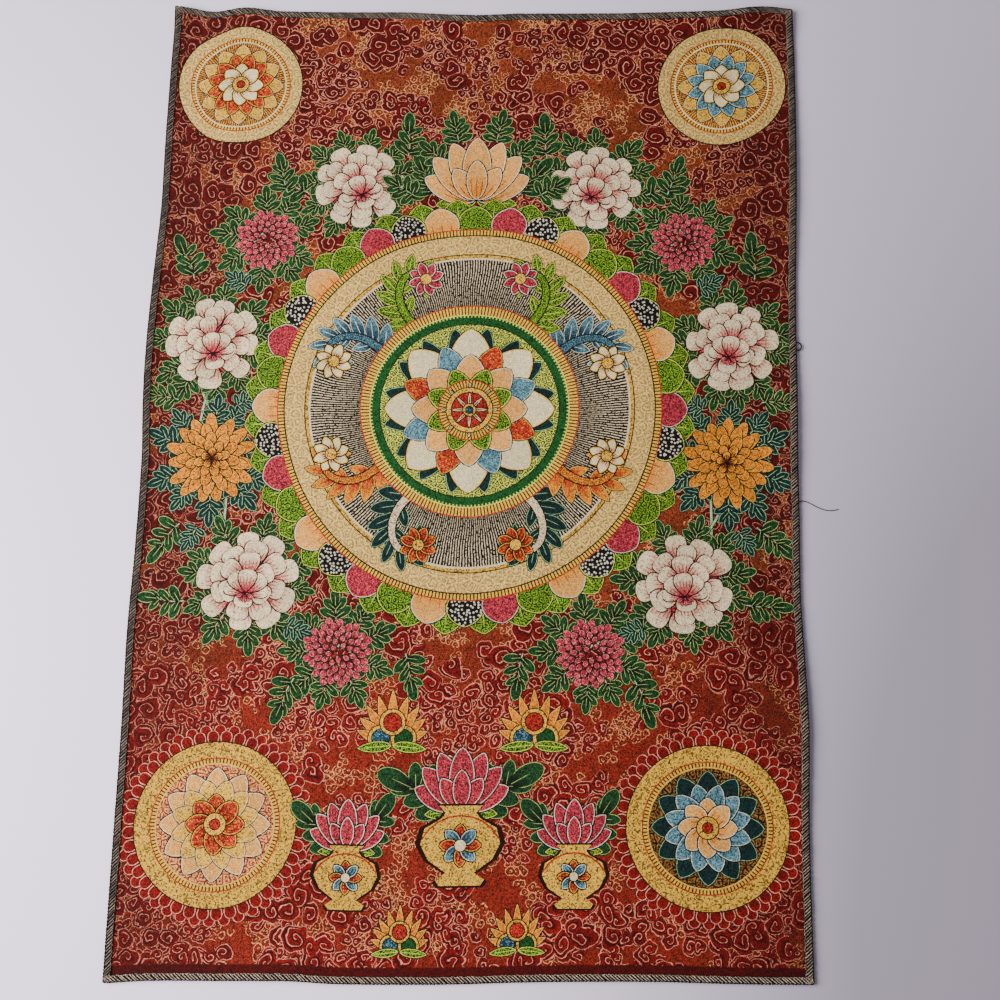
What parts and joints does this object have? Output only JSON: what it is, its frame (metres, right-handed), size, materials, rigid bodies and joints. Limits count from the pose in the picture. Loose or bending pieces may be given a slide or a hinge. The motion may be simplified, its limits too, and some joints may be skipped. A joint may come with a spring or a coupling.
{
  "type": "woven brocade picture cloth",
  "caption": "Flat jacquard-woven brocade cloth in the proportions of a thangka, overlocked on all sides, lying face up with slightly curled corners and a loose thread.",
  "frame": {"origin": "on the surface, under the middle of the outline of the cloth and its stitching", "axes": "+X across the cloth to its right as seen face on, +Y up its length to the top side, +Z out of its face"},
  "size_m": [0.6379, 0.9124, 0.0067],
  "materials": {
    "brocade": "matte jacquard weave with a slight sheen",
    "overlock": "matte twisted sewing thread",
    "thread": "matte twisted sewing thread"
  },
  "bodies": {
    "root": {"cloth": "brocade", "edge_top": "overlock", "edge_bottom": "overlock", "edge_left": "overlock", "edge_right": "overlock", "loose_thread": "thread"}
  },
  "joints": []
}
